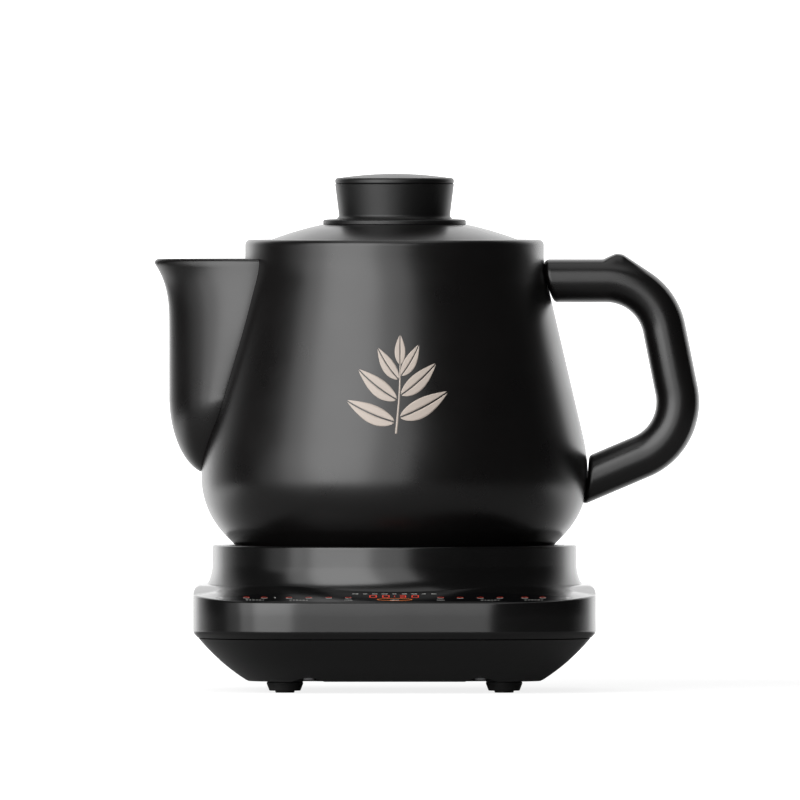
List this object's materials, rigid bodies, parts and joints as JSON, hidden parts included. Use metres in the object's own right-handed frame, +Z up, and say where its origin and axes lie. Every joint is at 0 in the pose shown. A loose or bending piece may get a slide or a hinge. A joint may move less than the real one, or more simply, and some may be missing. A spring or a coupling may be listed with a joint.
{
  "type": "herbal decoction pot",
  "caption": "Round ceramic pot with a jug spout, loop handle and loose domed lid, standing in the collar of a rounded square heating base with a sloping touch panel.",
  "frame": {"origin": "on the standing plane below the pot's axis, at the centre of the four feet's circle of turning", "axes": "+Z up, +X from the spout towards the handle, -Y towards the control panel (front)"},
  "size_m": [0.3004, 0.2497, 0.284],
  "materials": {
    "pot_ceramic": "satin",
    "knob_plastic": "satin",
    "housing_plastic": "satin",
    "panel_gloss": "gloss",
    "plate_aluminium": "satin",
    "steel": "satin",
    "silicone": "matte",
    "pad_rubber": "matte",
    "foot_rubber": "matte",
    "cutout_ceramic": "matte",
    "board": "satin",
    "display": "gloss"
  },
  "bodies": {
    "base": {"base_housing": "housing_plastic", "control_panel": "panel_gloss", "chassis": "housing_plastic", "heating_plate": "plate_aluminium", "plate_seal": "silicone", "heating_element": "steel", "heat_shield": "steel", "plate_screws": "steel", "shield_screws": "steel", "probe_holder": "housing_plastic", "probe_spring": "steel", "thermal_cutout": "cutout_ceramic", "control_board": "board", "display_module": "display", "touch_pads": "pad_rubber", "power_board": "board", "board_screws": "steel", "case_screws": "steel", "power_inlet": "housing_plastic", "inlet_screws": "steel", "foot_front_left": "foot_rubber", "foot_front_right": "foot_rubber", "foot_back_left": "foot_rubber", "foot_back_right": "foot_rubber"},
    "pot": {"pot_body": "pot_ceramic", "spout": "pot_ceramic", "spout_strainer": "pot_ceramic", "handle": "pot_ceramic"},
    "lid": {"lid": "pot_ceramic", "lid_knob": "knob_plastic", "knob_cap": "knob_plastic", "knob_screw": "steel", "knob_washer": "silicone"},
    "probe": {"probe": "steel"}
  },
  "joints": [
    {"name": "pot_lift", "type": "slide", "parent": "base", "child": "pot", "axis": [0, 0, 1], "range_m": [0, 0.12]},
    {"name": "lid_lift", "type": "slide", "parent": "pot", "child": "lid", "axis": [0, 0, 1], "range_m": [0, 0.1]},
    {"name": "probe_press", "type": "slide", "parent": "base", "child": "probe", "axis": [0, 0, 1], "range_m": [-0.0025, 0], "stiffness_N_per_m": 200, "springref_m": 0.004, "deforming": ["probe_spring"]}
  ]
}
